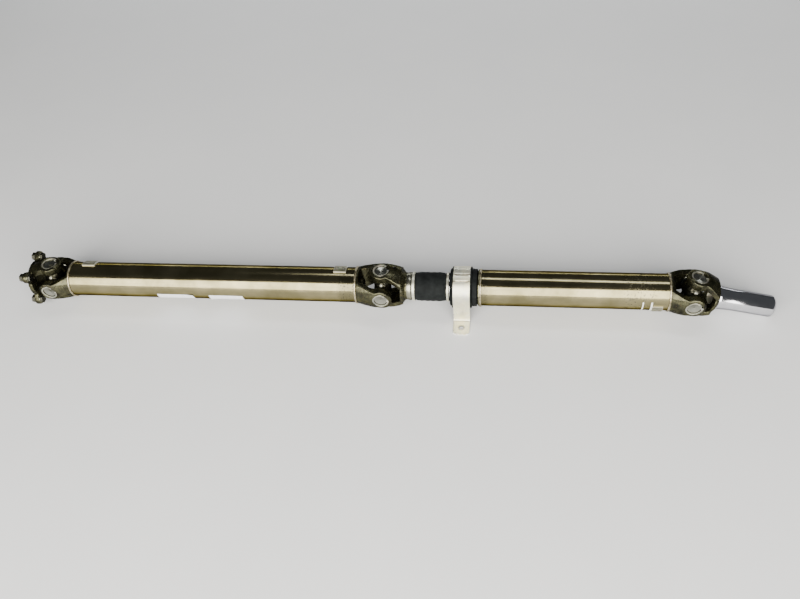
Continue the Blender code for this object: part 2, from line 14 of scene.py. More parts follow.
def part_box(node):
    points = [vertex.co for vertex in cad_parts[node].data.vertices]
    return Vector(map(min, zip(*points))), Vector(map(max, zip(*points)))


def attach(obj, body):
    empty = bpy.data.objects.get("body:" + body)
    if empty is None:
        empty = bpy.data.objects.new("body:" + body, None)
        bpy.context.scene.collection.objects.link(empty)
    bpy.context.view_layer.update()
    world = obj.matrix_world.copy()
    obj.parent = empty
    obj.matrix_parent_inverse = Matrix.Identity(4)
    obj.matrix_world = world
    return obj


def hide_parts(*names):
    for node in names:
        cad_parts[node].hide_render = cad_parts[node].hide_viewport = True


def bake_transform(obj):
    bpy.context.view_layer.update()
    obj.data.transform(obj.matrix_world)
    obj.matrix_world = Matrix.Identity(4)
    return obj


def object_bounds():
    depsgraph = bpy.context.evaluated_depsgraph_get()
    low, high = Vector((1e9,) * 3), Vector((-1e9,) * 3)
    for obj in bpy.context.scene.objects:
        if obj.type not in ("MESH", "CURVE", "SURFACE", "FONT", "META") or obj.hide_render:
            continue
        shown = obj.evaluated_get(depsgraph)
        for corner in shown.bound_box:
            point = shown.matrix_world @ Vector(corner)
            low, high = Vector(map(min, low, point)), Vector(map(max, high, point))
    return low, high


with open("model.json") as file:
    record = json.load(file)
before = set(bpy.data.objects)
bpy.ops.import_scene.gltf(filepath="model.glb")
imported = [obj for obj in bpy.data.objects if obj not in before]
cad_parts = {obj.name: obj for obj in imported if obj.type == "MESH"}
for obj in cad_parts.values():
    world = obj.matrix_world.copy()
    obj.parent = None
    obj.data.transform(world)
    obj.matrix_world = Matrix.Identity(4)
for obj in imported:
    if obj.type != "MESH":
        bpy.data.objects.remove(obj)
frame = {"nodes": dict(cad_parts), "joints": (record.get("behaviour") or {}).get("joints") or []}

CAD_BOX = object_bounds()
SCENE = bpy.context.scene
JOINTS = {joint["name"]: joint for joint in frame["joints"]}

# Places taken from the frame
AXIS_Z = JOINTS["shaft_spin"]["pos_m"][2]
REAR_X = JOINTS["rear_cross_tilt"]["pos_m"][0]
MIDDLE_X = JOINTS["middle_cross_swing"]["pos_m"][0]
FRONT_X = JOINTS["front_cross_tilt"]["pos_m"][0]
BEARING_X = JOINTS["shaft_spin"]["pos_m"][0]
SLIP_UP = Vector(JOINTS["slip_yoke_swing"]["axis"])
DROOP = math.atan2(SLIP_UP.x, SLIP_UP.z)
REAR_TUBE = [corner.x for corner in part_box("rear_tube")]
FRONT_TUBE = [corner.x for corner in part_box("front_tube")]
TUBE_R = (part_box("rear_tube")[1].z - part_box("rear_tube")[0].z) / 2
BOOT = [corner.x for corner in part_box("boot")]
BOOT_R = (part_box("boot")[1].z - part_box("boot")[0].z) / 2
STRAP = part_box("bracket")
CAP_R = (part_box("middle_cap_front_a")[1].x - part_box("middle_cap_front_a")[0].x) / 2
CAP_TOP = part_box("middle_cap_front_a")[1].z - AXIS_Z
CAP_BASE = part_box("middle_cap_front_a")[0].z - AXIS_Z
RING_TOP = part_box("middle_snap_ring_front_a")[1].z - AXIS_Z
RING_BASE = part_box("middle_snap_ring_front_a")[0].z - AXIS_Z
RING_R = (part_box("middle_snap_ring_front_a")[1].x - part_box("middle_snap_ring_front_a")[0].x) / 2
CENTRE = Vector((0, 0, AXIS_Z))

# Sizes of detail that the frame's boxes don't give
GAP = 0.0003                   # left between neighbouring pieces
STRAP_THICK = 0.0026
STRAP_R = 0.0374
FOOT_HOLE_REACH = 0.0184       # from the middle of the strap's leg out to the bolt hole
FOOT_HOLE_Y = STRAP_R - STRAP_THICK / 2 + FOOT_HOLE_REACH
FOOT_HOLE_R = 0.0045
CREASES = (62, 83)             # pressed grooves across the strap, degrees up from its near side
STUB_SEAT_R = 0.0153           # bore of what sits on the stub shaft
CAP_BORE_R = 0.0088
BOOT_CUFF_R = 0.0244
SHEET_STEPS = (36, 24)         # squares along and across a label or plate


# ---------------------------------------------------------------- node materials

class Shader:
    """A Principled material with small helpers for wiring procedural nodes."""

    def __init__(self, name, metallic, **extra):
        self.mat = bpy.data.materials.new(name)
        self.mat.use_nodes = True
        self.tree = self.mat.node_tree
        self.shader = self.tree.nodes["Principled BSDF"]
        self.shader.inputs["Metallic"].default_value = metallic
        for key, value in extra.items():
            self.shader.inputs[key.replace("_", " ")].default_value = value
        self.coords = self.tree.nodes.new("ShaderNodeTexCoord").outputs["Object"]

    def node(self, kind, **values):
        made = self.tree.nodes.new(kind)
        for key, value in values.items():
            setattr(made, key, value)
        return made

    def link(self, source, target):
        self.tree.links.new(source, target)

    def scaled(self, scale):
        mapping = self.node("ShaderNodeMapping")
        mapping.inputs["Scale"].default_value = scale
        self.link(self.coords, mapping.inputs["Vector"])
        return mapping.outputs["Vector"]

    def noise(self, size, stretch=(1, 1, 1), detail=4, roughness=0.55):
        texture = self.node("ShaderNodeTexNoise")
        texture.inputs["Scale"].default_value = 1 / size
        texture.inputs["Detail"].default_value = detail
        texture.inputs["Roughness"].default_value = roughness
        self.link(self.scaled(stretch), texture.inputs["Vector"])
        return texture.outputs["Fac"]

    def ramp(self, fac, *stops):
        """Map a value through grey or colour stops, each (position, grey or rgb)."""
        ramp = self.node("ShaderNodeValToRGB")
        elements = ramp.color_ramp.elements
        while len(elements) < len(stops):
            elements.new(0.5)
        for element, (position, value) in zip(elements, stops):
            element.position = position
            rgb = value if isinstance(value, tuple) else (value, value, value)
            element.color = (*rgb, 1)
        self.link(fac, ramp.inputs["Fac"])
        return ramp.outputs["Color"]

    def mix(self, fac, a, b, blend="MIX"):
        mixer = self.node("ShaderNodeMix", data_type="RGBA", blend_type=blend)
        for index, value in ((6, a), (7, b)):
            if isinstance(value, tuple):
                mixer.inputs[index].default_value = (*value, 1)
            else:
                self.link(value, mixer.inputs[index])
        if isinstance(fac, float):
            mixer.inputs[0].default_value = fac
        else:
            self.link(fac, mixer.inputs[0])
        return mixer.outputs[2]

    def math(self, operation, a, b):
        node = self.node("ShaderNodeMath", operation=operation)
        for index, value in enumerate((a, b)):
            if isinstance(value, (int, float)):
                node.inputs[index].default_value = value
            else:
                self.link(value, node.inputs[index])
        return node.outputs[0]

    def axis(self, index):
        split = self.node("ShaderNodeSeparateXYZ")
        self.link(self.coords, split.inputs[0])
        return split.outputs[index]

    def between(self, value, low, high, soft=0.0004):
        """1 where low < value < high, with soft edges."""
        rise = self.node("ShaderNodeMapRange")
        fall = self.node("ShaderNodeMapRange")
        for node, start, stop in ((rise, low - soft, low + soft), (fall, high + soft, high - soft)):
            self.link(value, node.inputs["Value"])
            node.inputs["From Min"].default_value = start
            node.inputs["From Max"].default_value = stop
        return self.math("MULTIPLY", rise.outputs[0], fall.outputs[0])

    def edges(self, low, high):
        """1 on worn outer edges, 0 in the flats."""
        geometry = self.node("ShaderNodeNewGeometry")
        return self.ramp(geometry.outputs["Pointiness"], (low, 0.0), (high, 1.0))

    def color(self, value):
        self.link(value, self.shader.inputs["Base Color"])

    def roughness(self, value):
        self.link(value, self.shader.inputs["Roughness"])

    def bump(self, height, depth, strength):
        bump = self.node("ShaderNodeBump")
        bump.inputs["Strength"].default_value = strength
        bump.inputs["Distance"].default_value = depth
        self.link(height, bump.inputs["Height"])
        self.link(bump.outputs["Normal"], self.shader.inputs["Normal"])


def tube_material():
    """Glossy olive gold drawn tube: streaks, stains near the joints and two painted rings."""
    s = Shader("tube_oiled_steel", 1.0, Specular_Tint=(0.10, 0.09, 0.06, 1))
    streaks = s.noise(0.006, stretch=(0.06, 1, 1), detail=5)
    clouds = s.noise(0.045, detail=3)
    steel = s.ramp(clouds, (0.3, (0.20, 0.175, 0.085)), (0.7, (0.36, 0.315, 0.175)))
    steel = s.mix(s.ramp(streaks, (0.35, 0.0), (0.8, 0.45)), steel, (0.17, 0.155, 0.10))
    stained = s.ramp(s.noise(0.004, detail=6), (0.56, 0.0), (0.66, 0.8))
    x = s.axis(0)
    near_ends = s.math("ADD", s.between(x, REAR_TUBE[1] - 0.03, REAR_TUBE[1] + 0.01, 0.004),
                       s.between(x, FRONT_TUBE[0] - 0.01, FRONT_TUBE[0] + 0.012, 0.003))
    paint_zone = s.between(x, FRONT_TUBE[1] - 0.075, FRONT_TUBE[1] - 0.025, 0.006)
    stain = s.math("MULTIPLY", stained, s.math("ADD", near_ends, paint_zone))
    steel = s.mix(stain, steel, (0.06, 0.058, 0.05))
    steel = s.mix(s.math("MULTIPLY", near_ends, 0.35), steel, (0.09, 0.085, 0.055))
    under = s.math("LESS_THAN", s.axis(2), AXIS_Z + 0.006)
    rings = s.math("ADD", s.between(x, FRONT_TUBE[1] - 0.0445, FRONT_TUBE[1] - 0.0425),
                   s.between(x, FRONT_TUBE[1] - 0.0305, FRONT_TUBE[1] - 0.0278))
    worn = s.ramp(s.noise(0.003, detail=4), (0.33, 0.0), (0.42, 1.0))
    paint = s.math("MULTIPLY", s.math("MULTIPLY", rings, under), worn)
    s.color(s.mix(paint, steel, (0.86, 0.87, 0.85)))
    rough = s.ramp(streaks, (0.3, 0.10), (0.75, 0.21))
    s.roughness(s.mix(paint, s.mix(stain, rough, (0.45, 0.45, 0.45)), (0.55, 0.55, 0.55)))
    s.link(s.math("SUBTRACT", 1.0, paint), s.shader.inputs["Metallic"])
    s.bump(s.math("ADD", streaks, s.math("MULTIPLY", stained, 0.3)), 0.00004, 0.6)
    return s.mat


def forged_material(name, dark, lit):
    """Hammered forging scale under oil, brighter on its edges, with a few rust-brown freckles."""
    s = Shader(name, 0.92, Coat_Weight=0.15, Coat_Roughness=0.15, Specular_Tint=(0.2, 0.2, 0.14, 1))
    scale = s.noise(0.0035, detail=6, roughness=0.6)
    clouds = s.noise(0.014, detail=3)
    steel = s.ramp(clouds, (0.32, dark), (0.7, lit))
    freckles = s.ramp(s.noise(0.0022, detail=5), (0.6, 0.0), (0.7, 0.7))
    steel = s.mix(freckles, steel, (0.14, 0.085, 0.04))
    steel = s.mix(s.edges(0.53, 0.66), steel, (0.40, 0.39, 0.24))
    s.color(steel)
    s.roughness(s.ramp(scale, (0.3, 0.16), (0.72, 0.36)))
    s.bump(scale, 0.00035, 0.55)
    return s.mat


def ground_material(name, tint, rough):
    """Ground steel with a fine even grain and faint clouds."""
    s = Shader(name, 1.0, Specular_Tint=(0.16, 0.16, 0.18, 1))
    grain = s.noise(0.0009, detail=2)
    clouds = s.noise(0.02, detail=3)
    shade = tuple(0.86 * c for c in tint)
    s.color(s.ramp(clouds, (0.3, shade), (0.7, tint)))
    s.roughness(s.ramp(s.mix(0.5, grain, clouds), (0.35, rough[0]), (0.68, rough[1])))
    s.bump(grain, 0.000012, 0.5)
    return s.mat


def zinc_material(name, tint, grey, shaded_hole_ys=(), creases=()):
    """Zinc plate: cloudy spangle, grime, scuffed edges, painted shade round holes and painted shade along
    creases.
    """
    s = Shader(name, 0.75)
    spangle = s.node("ShaderNodeTexVoronoi")
    spangle.inputs["Scale"].default_value = 260
    s.link(s.coords, spangle.inputs["Vector"])
    clouds = s.noise(0.018, detail=4)
    plate = s.ramp(clouds, (0.34, grey), (0.62, tint))
    plate = s.mix(0.10, plate, spangle.outputs["Color"], blend="SOFT_LIGHT")
    grime = s.ramp(s.noise(0.005, detail=6), (0.6, 0.0), (0.75, 0.5))
    plate = s.mix(grime, plate, (0.36, 0.33, 0.26))
    plate = s.mix(s.edges(0.53, 0.6), plate, (0.93, 0.92, 0.86))
    # Painted shade: a dark disc round each listed foot hole stands in for the shade in and under the bolt
    # hole.
    for y in shaded_hole_ys:
        away = s.node("ShaderNodeVectorMath", operation="DISTANCE")
        away.inputs[1].default_value = (BEARING_X, y, 0)
        s.link(s.coords, away.inputs[0])
        painted_hole_shade = s.ramp(away.outputs["Value"], (0.0070, 0.95), (0.0078, 0.0))
        plate = s.mix(painted_hole_shade, plate, (0.05, 0.052, 0.06))
    # Painted shade: dark patchy lines along the pressed creases stand in for the shade in the grooves.
    if creases:
        height = s.math("SUBTRACT", s.axis(2), AXIS_Z)
        angle = s.math("ARCTAN2", height, s.math("MULTIPLY", s.axis(1), -1.0))
        for crease in creases:
            line = s.between(angle, math.radians(crease - 1.2), math.radians(crease + 1.6), 0.012)
            painted_crease_shade = s.math("MULTIPLY", line, s.ramp(s.noise(0.006), (0.3, 0.5), (0.6, 0.95)))
            plate = s.mix(painted_crease_shade, plate, (0.16, 0.12, 0.07))
    s.color(plate)
    s.roughness(s.ramp(clouds, (0.3, 0.26), (0.7, 0.46)))
    s.bump(s.noise(0.0016, detail=4), 0.00005, 0.4)
    return s.mat


def rubber_material():
    """Moulded black rubber with a faint bloom."""
    s = Shader("moulded_rubber", 0.0, Specular_IOR_Level=0.06)
    grain = s.noise(0.0009, detail=5)
    bloom = s.noise(0.012, detail=4)
    s.color(s.ramp(bloom, (0.35, (0.006, 0.007, 0.007)), (0.75, (0.016, 0.018, 0.018))))
    s.roughness(s.ramp(bloom, (0.3, 0.52), (0.75, 0.78)))
    s.bump(grain, 0.00012, 0.35)
    return s.mat


def paper_material():
    """Blank label stock, slightly soiled, with a fibre tooth."""
    s = Shader("label_paper_blank", 0.0, Coat_Weight=0.15, Coat_Roughness=0.3)
    soil = s.noise(0.009, detail=5)
    s.color(s.ramp(soil, (0.35, (0.87, 0.88, 0.90)), (0.75, (0.73, 0.75, 0.78))))
    s.roughness(s.ramp(soil, (0.3, 0.42), (0.7, 0.6)))
    s.bump(s.noise(0.0007, detail=3), 0.00004, 0.5)
    return s.mat


def weld_material():
    """Weld metal with patches of brown and straw heat tint."""
    s = Shader("weld_metal", 1.0)
    heat = s.noise(0.006, detail=4)
    s.color(s.ramp(heat, (0.3, (0.15, 0.13, 0.085)), (0.52, (0.42, 0.36, 0.22)),
                   (0.72, (0.62, 0.58, 0.46))))
    s.roughness(s.ramp(heat, (0.3, 0.25), (0.7, 0.45)))
    s.bump(s.noise(0.0012, detail=4), 0.0001, 0.5)
    return s.mat


def floor_material():
    """Pale matte studio floor with the faintest mottling."""
    s = Shader("studio_floor", 0.0, Roughness=0.7)
    s.color(s.ramp(s.noise(0.25, detail=3), (0.3, (0.85, 0.858, 0.866)), (0.7, (0.88, 0.884, 0.89))))
    return s.mat


TUBE_STEEL = tube_material()
FORGED = forged_material("forged_steel_oiled", dark=(0.024, 0.024, 0.016), lit=(0.105, 0.102, 0.055))
CROSS_STEEL = forged_material("forged_steel_dark", dark=(0.020, 0.020, 0.015), lit=(0.08, 0.077, 0.05))
OXIDE = forged_material("black_oxide", dark=(0.012, 0.012, 0.013), lit=(0.035, 0.036, 0.038))
BRIGHT = ground_material("ground_bright_steel", tint=(0.70, 0.70, 0.73), rough=(0.06, 0.13))
CAP_STEEL = ground_material("cap_ground_steel", tint=(0.34, 0.34, 0.29), rough=(0.16, 0.30))
RACE_STEEL = ground_material("bearing_race_steel", tint=(0.56, 0.56, 0.54), rough=(0.12, 0.26))
NECK_STEEL = ground_material("turned_neck_steel", tint=(0.36, 0.35, 0.28), rough=(0.18, 0.34))
# The strap's plate carries painted shade round both foot holes and along its pressed creases.
ZINC = zinc_material("zinc_plate", tint=(0.86, 0.82, 0.60), grey=(0.70, 0.69, 0.58),
                     shaded_hole_ys=(-FOOT_HOLE_Y, FOOT_HOLE_Y), creases=CREASES)
SMALL_ZINC = zinc_material("zinc_small_parts", tint=(0.70, 0.68, 0.52), grey=(0.48, 0.47, 0.38))
DULL_ZINC = zinc_material("zinc_dull_small_parts", tint=(0.42, 0.41, 0.31), grey=(0.26, 0.26, 0.22))
WEIGHT_STEEL = zinc_material("balance_weight_steel", tint=(0.26, 0.25, 0.17), grey=(0.15, 0.145, 0.10))
RUBBER = rubber_material()
PAPER = paper_material()
WELD = weld_material()


# ---------------------------------------------------------------- mesh helpers

def new_piece(name, bm, mat, body=None, sharp=32):
    """A smooth-shaded object from a bmesh and body."""
    bmesh.ops.remove_doubles(bm, verts=bm.verts, dist=1e-7)
    bmesh.ops.recalc_face_normals(bm, faces=bm.faces)
    mesh = bpy.data.meshes.new(name)
    bm.to_mesh(mesh)
    bm.free()
    piece = bpy.data.objects.new(name, mesh)
    SCENE.collection.objects.link(piece)
    mesh.materials.append(mat)
    mesh.shade_smooth()
    mesh.set_sharp_from_angle(angle=math.radians(sharp))
    if body:
        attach(piece, body)
    return piece


def revolve(profile, steps=96, closed=True, shape=None):
    """A bmesh of (x, r) points spun round X; shape(x, angle, r) may change the radius."""
    bm = bmesh.new()
    rings = []
    for x, r in profile:
        if r < 1e-7:
            rings.append([bm.verts.new((x, 0, 0))] * steps)
            continue
        ring = []
        for i in range(steps):
            a = math.tau * i / steps
            radius = shape(x, a, r) if shape else r
            ring.append(bm.verts.new((x, radius * math.cos(a), radius * math.sin(a))))
        rings.append(ring)
    pairs = list(zip(rings, rings[1:]))
    if closed:
        pairs.append((rings[-1], rings[0]))
    for low, high in pairs:
        for i in range(steps):
            k = (i + 1) % steps
            corners = []
            for vert in (low[i], low[k], high[k], high[i]):
                if vert not in corners:
                    corners.append(vert)
            if len(corners) > 2:
                bm.faces.new(corners)
    return bm


def close_layers(bm, under, over):
    """Faces over two matching grids of vertices, and round the rim between them."""
    last = len(under) - 1
    columns = len(under[0]) - 1
    for rows in (under, over):
        for i in range(last):
            for j in range(columns):
                bm.faces.new((rows[i][j], rows[i + 1][j], rows[i + 1][j + 1], rows[i][j + 1]))
    rim = [(i, 0) for i in range(last)] + [(last, j) for j in range(columns)]
    rim += [(i, columns) for i in range(last, 0, -1)] + [(0, j) for j in range(columns, 0, -1)]
    for here, after in zip(rim, rim[1:] + rim[:1]):
        bm.faces.new((under[here[0]][here[1]], under[after[0]][after[1]], over[after[0]][after[1]],
                      over[here[0]][here[1]]))


def bar(bm, sections):
    """Faces along a row of four-cornered sections, closed at both ends."""
    for low, high in zip(sections, sections[1:]):
        for k in range(4):
            bm.faces.new((low[k], low[(k + 1) % 4], high[(k + 1) % 4], high[k]))
    bm.faces.new(sections[0])
    bm.faces.new(sections[-1])


def add_bevel(piece, width, segments):
    bevel = piece.modifiers.new("edge", "BEVEL")
    bevel.width = width
    bevel.segments = segments
    return bevel


def repaint(obj, mat):
    obj.data.materials.clear()
    obj.data.materials.append(mat)


def placed(bm, matrix):
    bm.transform(matrix)
    return bm


def on_axis(bm, x=0.0):
    """Lift a bmesh made round the origin's X line on to the shaft's axis."""
    return placed(bm, Matrix.Translation((x, 0, AXIS_Z)))


def rounded(points, radius):
    """Round each corner of a closed (x, r) outline; points with r = 0 stay sharp."""
    steps = 3
    result = []
    count = len(points)
    for i, point in enumerate(points):
        here = Vector(point)
        before = Vector(points[i - 1])
        after = Vector(points[(i + 1) % count])
        if here.y < 1e-6 or min((before - here).length, (after - here).length) < 1e-6:
            result.append(tuple(here))
            continue
        cut = min(radius, 0.4 * (before - here).length, 0.4 * (after - here).length)
        start = here + (before - here).normalized() * cut
        stop = here + (after - here).normalized() * cut
        for k in range(steps + 1):
            t = k / steps
            result.append(tuple(start.lerp(here, t).lerp(here.lerp(stop, t), t)))
    return result


def joint_matrix(x, up):
    """Local Z on the trunnion axis and local X along the shaft, at a joint's centre."""
    z = Vector(up).normalized()
    if abs(z.y) > 0.9:
        x_axis = Vector((1, 0, 0))
    else:
        x_axis = Vector((z.z, 0, -z.x)).normalized()
    y = z.cross(x_axis)
    matrix = Matrix((x_axis, y, z)).transposed().to_4x4()
    return Matrix.Translation((x, 0, AXIS_Z)) @ matrix


X_TO_Z = Matrix.Rotation(-math.pi / 2, 4, "Y")


# ---------------------------------------------------------------- forgings

def apply_modifiers(obj):
    graph = bpy.context.evaluated_depsgraph_get()
    mesh = bpy.data.meshes.new_from_object(obj.evaluated_get(graph), depsgraph=graph)
    obj.modifiers.clear()
    obj.data = mesh


def forging(node, body, mat=FORGED, keep=None, grain=0.00018, voxel=0.00095):
    """A CAD node's solid remade with soft edges and hammered skin; keep=(point, normal) cuts it."""
    source = frame["nodes"][node]
    bm = bmesh.new()
    bm.from_mesh(source.data)
    bmesh.ops.remove_doubles(bm, verts=bm.verts, dist=1e-6)
    if keep:
        point, normal = keep
        geom = bm.verts[:] + bm.edges[:] + bm.faces[:]
        cut = bmesh.ops.bisect_plane(bm, geom=geom, plane_co=point, plane_no=normal, clear_outer=True)
        edges = [g for g in cut["geom_cut"] if isinstance(g, bmesh.types.BMEdge)]
        bmesh.ops.triangle_fill(bm, edges=edges, use_beauty=True)
    piece = new_piece(node + "_forging", bm, mat)
    remesh = piece.modifiers.new("skin", "REMESH")
    remesh.mode = "VOXEL"
    remesh.voxel_size = voxel
    soften = piece.modifiers.new("soften", "SMOOTH")
    soften.factor = 0.5
    soften.iterations = 5
    apply_modifiers(piece)
    mesh = piece.data
    normals = [Vector(v.normal) for v in mesh.vertices]
    for vert, normal in zip(mesh.vertices, normals):
        lump = noise.noise(vert.co * 180) * grain + noise.noise(vert.co * 520) * grain * 0.35
        vert.co += normal * lump
    repaint(piece, mat)
    mesh.shade_smooth()
    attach(piece, body)
    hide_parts(node)


def weld_bead(name, x, body, seed):
    """Ripples of weld metal round a tube's end."""
    generator = random.Random(seed)
    phase = generator.uniform(0, math.tau)
    points = 10
    half_width = 0.0019
    half_height = 0.0013
    ripples = 32
    profile = [(half_width * math.cos(math.tau * i / points), half_height * math.sin(math.tau * i / points))
               for i in range(points)]

    def ripple(x_local, angle, r):
        wave = abs(math.sin(ripples * angle + x_local * 900 + phase))
        return r + 0.00035 * wave + 0.0002 * math.sin(3 * angle + phase)

    bm = revolve([(px, TUBE_R + 0.0006 + py) for px, py in profile], steps=220, shape=ripple)
    return new_piece(name, on_axis(bm, x), WELD, body, sharp=60)


# ---------------------------------------------------------------- universal joint pieces

def bearing_cap(node, body, matrix):
    """Drawn and ground cap over its seal: rolled rim, shallow dished face and a centre mark."""
    top = CAP_TOP
    inside = top - 0.0022
    profile = [(CAP_BASE, CAP_BORE_R), (CAP_BASE, CAP_R - 0.0006), (CAP_BASE + 0.0006, CAP_R),
               (top - 0.0016, CAP_R), (top - 0.0006, CAP_R - 0.0004), (top, CAP_R - 0.0014), (top, 0.0098),
               (top - 0.0004, 0.0090), (top - 0.0005, 0.0034), (top - 0.0012, 0.0018), (top - 0.0016, 0),
               (inside, 0), (inside, CAP_BORE_R)]
    bm = placed(revolve(profile, steps=64), matrix @ X_TO_Z)
    piece = new_piece(node + "_ground", bm, CAP_STEEL, body, sharp=40)
    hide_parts(node)
    lip_r = 0.0089
    low = CAP_BASE - 0.0014
    high = CAP_BASE - 0.0002
    seal_profile = rounded([(low, lip_r), (low, 0.0118), (high, 0.0132), (high, lip_r)], 0.0005)
    seal = placed(revolve(seal_profile, steps=48), matrix @ X_TO_Z)
    new_piece(node + "_seal", seal, RUBBER, body)


def snap_ring(node, body, matrix):
    """Open spring ring whose two ends widen into lugs."""
    gap = math.radians(24)
    inner = RING_R - 0.0030
    lug = 0.0016
    steps = 72
    bm = bmesh.new()
    sections = []
    for i in range(steps + 1):
        a = gap + (math.tau - 2 * gap) * i / steps
        ends = max(0.0, 1 - min(i, steps - i) / 5)
        low = inner - lug * ends
        section = []
        for r, z in ((low, RING_BASE), (RING_R, RING_BASE), (RING_R, RING_TOP), (low, RING_TOP)):
            section.append(bm.verts.new((r * math.cos(a), r * math.sin(a), z)))
        sections.append(section)
    bar(bm, sections)
    piece = new_piece(node + "_spring", placed(bm, matrix), DULL_ZINC, body)
    add_bevel(piece, 0.0002, 2)
    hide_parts(node)


def nipple(name, body, matrix):
    """Hexagonal grease nipple with its ball end, screwed into the cross's corner."""
    start = 0.0150
    stop = 0.0186
    corner = 0.0040
    hexagon = revolve([(start, 0), (start, corner), (stop, corner), (stop, 0)], steps=6, closed=False)
    hex_piece = new_piece(name + "_hex", placed(hexagon, matrix), SMALL_ZINC, body)
    add_bevel(hex_piece, 0.0004, 2)
    profile = [(0.0184, 0), (0.0184, 0.0031), (0.0196, 0.0026), (0.0204, 0.0018), (0.0214, 0.0018),
               (0.0222, 0.0027), (0.0232, 0.0027), (0.0242, 0.0016), (0.0244, 0.0006), (0.0240, 0)]
    tip = placed(revolve(profile, steps=32, closed=False), matrix)
    new_piece(name + "_tip", tip, SMALL_ZINC, body)


def universal_joint(prefix, x, rear_up, front_up, rear_body, cross_body, front_body, cross_matrix):
    """Forged cross with its nipple, and the caps and rings in the two yokes."""
    forging(prefix + "_cross", cross_body, mat=CROSS_STEEL, grain=0.00008, voxel=0.0007)
    corner = cross_matrix @ Matrix.Rotation(math.radians(45), 4, "X") @ X_TO_Z
    nipple(prefix + "_nipple", cross_body, corner)
    for side, up, body in (("rear", rear_up, rear_body), ("front", front_up, front_body)):
        for end, sign in (("a", 1), ("b", -1)):
            tag = "_" + side + "_" + end
            direction = Vector(up) * sign
            node = prefix + "_cap" + tag
            low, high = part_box(node)
            if ((low + high) / 2 - Vector((x, 0, AXIS_Z))).dot(direction) < 0:
                direction = -direction
            matrix = joint_matrix(x, direction)
            bearing_cap(node, body, matrix)
            snap_ring(prefix + "_snap_ring" + tag, body, matrix @ Matrix.Rotation(math.radians(30), 4, "Z"))


def joints():
    across = (0, -1, 0)
    upright = (0, 0, 1)
    middle = joint_matrix(MIDDLE_X, upright)
    rear = joint_matrix(REAR_X, upright)
    front = joint_matrix(FRONT_X, SLIP_UP)
    universal_joint("rear", REAR_X, upright, across, "flange", "rear_cross", "rear_shaft", rear)
    universal_joint("middle", MIDDLE_X, across, upright, "rear_shaft", "middle_cross", "sleeve", middle)
    universal_joint("front", FRONT_X, across, SLIP_UP, "front_shaft", "front_cross", "slip_yoke", front)
    forging("flange_yoke", "flange")
    forging("rear_weld_yoke", "rear_shaft")
    forging("middle_weld_yoke", "rear_shaft")
    forging("front_weld_yoke", "front_shaft")


# ---------------------------------------------------------------- tubes and what is on them

def tube(node, body):
    """A drawn tube with eased ends and a faint waviness along its length."""
    low, high = (corner.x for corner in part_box(node))
    wall = 0.00165
    edge = 0.0004
    length = high - low
    steps = 60
    wave = 0.00004
    stations = [low + edge + (length - 2 * edge) * i / steps for i in range(steps + 1)]
    outline = [(low, TUBE_R - wall), (low, TUBE_R - edge)]
    outline += [(x, TUBE_R - wave * (1 - math.cos(40 * x))) for x in stations]
    outline += [(high, TUBE_R - edge), (high, TUBE_R - wall)]
    bm = on_axis(revolve(outline, steps=128))
    piece = new_piece(node + "_drawn", bm, TUBE_STEEL, body)
    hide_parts(node)


def angle_of(node):
    """Middle angle of a piece round the shaft, from +Y towards +Z, and its half span."""
    verts = frame["nodes"][node].data.vertices
    centre = sum((v.co for v in verts), Vector()) / len(verts)
    middle = math.atan2(centre.z - AXIS_Z, centre.y)
    spans = []
    for vert in verts:
        a = math.atan2(vert.co.z - AXIS_Z, vert.co.y) - middle
        spans.append(abs((a + math.pi) % math.tau - math.pi))
    return middle, max(spans)


def curved_sheet(node, body, mat, thick, lift, name="_sheet"):
    """A plate or label on a tube: a grid bent round the shaft, lifted by a function of (u, v)."""
    low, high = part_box(node)
    middle, half = angle_of(node)
    along, across = SHEET_STEPS
    bm = bmesh.new()
    layers = []
    for layer in (0, 1):
        grid = []
        for i in range(along + 1):
            row = []
            for j in range(across + 1):
                u = i / along
                v = j / across
                a = middle + half * (2 * v - 1)
                r = TUBE_R + 0.0001 + lift(u, v) + thick * layer
                x = low.x + (high.x - low.x) * u
                row.append(bm.verts.new((x, r * math.cos(a), AXIS_Z + r * math.sin(a))))
            grid.append(row)
        layers.append(grid)
    close_layers(bm, *layers)
    piece = new_piece(node + name, bm, mat, body)
    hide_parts(node)
    return piece


def labels():
    """Two blank stickers, with corners that have begun to lift."""
    def peel(corner_u, corner_v, amount):
        def lift(u, v):
            near = max(0.0, 1 - math.hypot((u - corner_u) * 1.6, v - corner_v) / 0.42)
            crease = 0.00012 * max(0.0, math.sin(9 * u + 4 * v)) ** 6
            return amount * near * near + crease
        return lift

    thick = 0.00018
    curved_sheet("label_long", "rear_shaft", PAPER, thick, peel(1, 0, 0.0016))
    curved_sheet("label_short", "rear_shaft", PAPER, thick, peel(0, 1, 0.0013))


def balance_weights():
    """Pressed plates, each held by two projection welds that dimple its face."""
    thick = 0.0021
    deepest = 0.0009

    def dimples(u, v):
        rise = 0.0
        for spot in (0.3, 0.7):
            away = math.hypot((u - spot) * 1.5, v - 0.5) / 0.14
            rise -= deepest * math.exp(-away * away)
        return max(rise, -deepest)

    for node, body in (("balance_weight_rear", "rear_shaft"), ("balance_weight_middle", "rear_shaft"),
                       ("balance_weight_front", "front_shaft")):
        plate = curved_sheet(node, body, WEIGHT_STEEL, thick, lambda u, v: 0.0,
                             name="_plate")
        low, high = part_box(node)
        middle, half = angle_of(node)
        for vert in plate.data.vertices:
            radius = math.hypot(vert.co.y, vert.co.z - AXIS_Z)
            if radius < TUBE_R + 0.001:
                continue
            a = math.atan2(vert.co.z - AXIS_Z, vert.co.y) - middle
            a = (a + math.pi) % math.tau - math.pi
            u = (vert.co.x - low.x) / (high.x - low.x)
            v = (a / half + 1) / 2
            scale = (radius + dimples(u, v)) / radius
            vert.co.y *= scale
            vert.co.z = AXIS_Z + (vert.co.z - AXIS_Z) * scale


